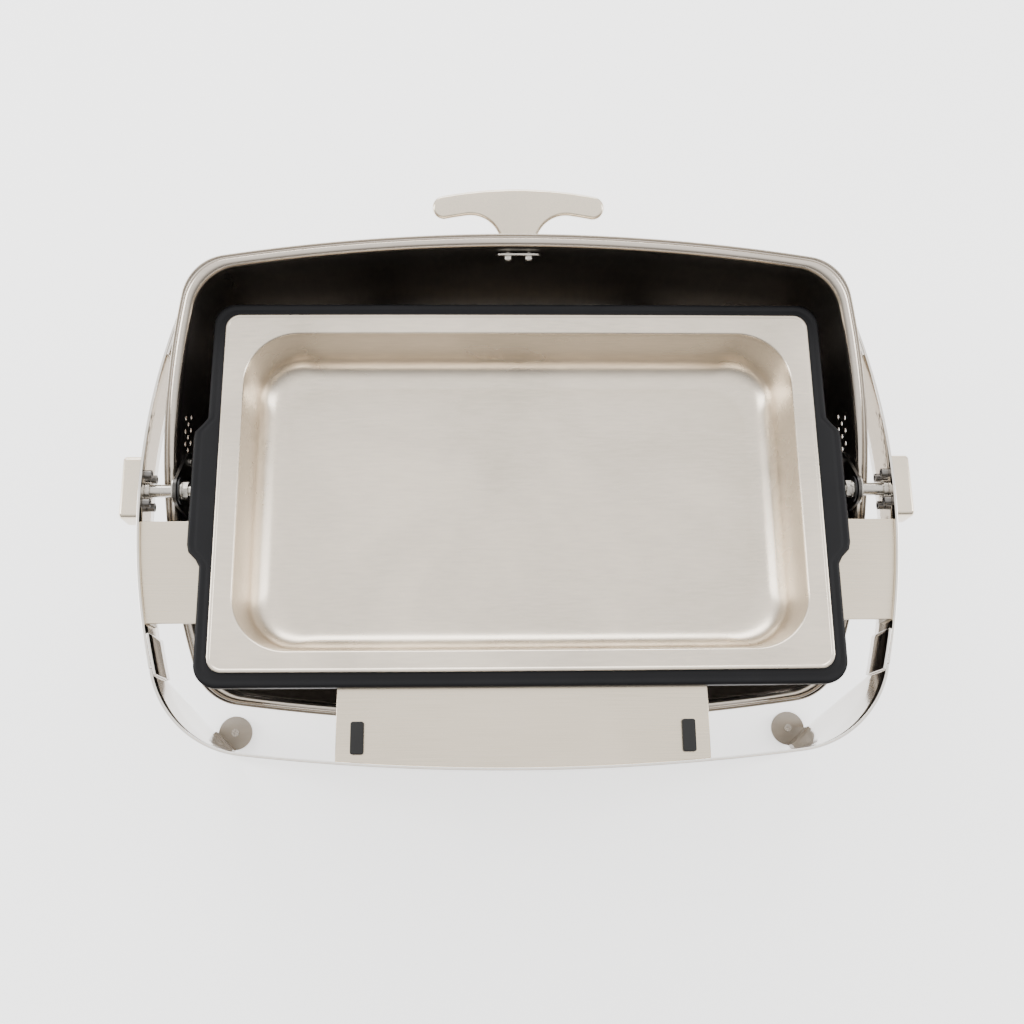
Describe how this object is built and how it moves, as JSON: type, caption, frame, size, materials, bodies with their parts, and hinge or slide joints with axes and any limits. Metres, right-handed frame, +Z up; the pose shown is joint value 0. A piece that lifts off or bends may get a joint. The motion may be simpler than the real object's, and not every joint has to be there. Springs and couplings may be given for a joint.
{
  "type": "chafing dish food warmer",
  "caption": "Rectangular roll-top chafing dish: band frame on four legs, swinging lid open, black water pan and steel food pan.",
  "frame": {"origin": "on the table, under the middle of the open assembly", "axes": "+Z up, +X to the user's right, -Y towards the user at the front"},
  "size_m": [0.702, 0.5147, 0.3479],
  "materials": {
    "polished_band": "mirror-polished stainless strip",
    "satin_steel": "satin stainless, warm",
    "lid_steel": "satin outside, bright inside",
    "pan_steel": "deep-drawn stainless, fine brushed",
    "black_enamel": "matt black coating on drawn steel",
    "black_rubber": "matt rubber",
    "friction_plastic": "black nylon",
    "bush_brass": "plain bearing bush",
    "plain_steel": "plain stainless sheet",
    "fuel_tin": "pressed tin",
    "bright_fastener": "stainless fasteners"
  },
  "bodies": {
    "stand": {"pan_cradle": "plain_steel", "front_ledge": "satin_steel", "lap_rivets": "bright_fastener", "foot_screws": "bright_fastener", "pivot_washers": "bright_fastener", "front_frame": "polished_band", "rear_frame": "polished_band", "side_rail_left": "polished_band", "side_bracket_left": "satin_steel", "ledge_pad_left": "black_rubber", "pivot_boss_left": "satin_steel", "boss_screws_left": "bright_fastener", "pivot_shaft_left": "bright_fastener", "shaft_collar_left": "bright_fastener", "friction_disc_left": "friction_plastic", "end_nut_left": "bright_fastener", "fuel_bracket_left": "plain_steel", "cover_pin_left": "plain_steel", "foot_bracket_front_left": "satin_steel", "rubber_foot_front_left": "black_rubber", "foot_bracket_rear_left": "satin_steel", "rubber_foot_rear_left": "black_rubber", "side_rail_right": "polished_band", "side_bracket_right": "satin_steel", "ledge_pad_right": "black_rubber", "pivot_boss_right": "satin_steel", "boss_screws_right": "bright_fastener", "pivot_shaft_right": "bright_fastener", "shaft_collar_right": "bright_fastener", "friction_disc_right": "friction_plastic", "end_nut_right": "bright_fastener", "fuel_bracket_right": "plain_steel", "cover_pin_right": "plain_steel", "foot_bracket_front_right": "satin_steel", "rubber_foot_front_right": "black_rubber", "foot_bracket_rear_right": "satin_steel", "rubber_foot_rear_right": "black_rubber"},
    "lid": {"lid_shell": "lid_steel", "ear_rivets": "bright_fastener", "lid_handle": "satin_steel", "handle_backing_plate": "satin_steel", "handle_studs": "bright_fastener", "handle_nuts": "bright_fastener", "pivot_ear_left": "plain_steel", "pivot_ear_right": "plain_steel", "ear_bush_left": "bush_brass", "ear_bush_right": "bush_brass"},
    "water_pan": {"water_pan": "black_enamel"},
    "food_pan": {"food_pan": "pan_steel"},
    "fuel_cup_left": {"fuel_cup_left": "fuel_tin"},
    "fuel_cover_left": {"fuel_cover_left": "plain_steel"},
    "fuel_cup_right": {"fuel_cup_right": "fuel_tin"},
    "fuel_cover_right": {"fuel_cover_right": "plain_steel"}
  },
  "joints": [
    {"name": "lid_roll", "type": "hinge", "parent": "stand", "child": "lid", "pos_m": [0, -0.0112, 0.278], "axis": [-1, 0, 0], "range_deg": [-158, 4]},
    {"name": "water_pan_lift", "type": "slide", "parent": "stand", "child": "water_pan", "axis": [0, 0, 1], "range_m": [0, 0.12]},
    {"name": "food_pan_lift", "type": "slide", "parent": "water_pan", "child": "food_pan", "axis": [0, 0, 1], "range_m": [0, 0.1]},
    {"name": "fuel_cup_lift_left", "type": "slide", "parent": "stand", "child": "fuel_cup_left", "axis": [0, 0, 1], "range_m": [0, 0.03]},
    {"name": "fuel_cover_swing_left", "type": "hinge", "parent": "stand", "child": "fuel_cover_left", "pos_m": [-0.186, -0.0142, 0.1783], "axis": [0, 0, 1], "range_deg": [-120, 0]},
    {"name": "fuel_cup_lift_right", "type": "slide", "parent": "stand", "child": "fuel_cup_right", "axis": [0, 0, 1], "range_m": [0, 0.03]},
    {"name": "fuel_cover_swing_right", "type": "hinge", "parent": "stand", "child": "fuel_cover_right", "pos_m": [0.186, -0.0142, 0.1783], "axis": [0, 0, -1], "range_deg": [-120, 0]}
  ]
}
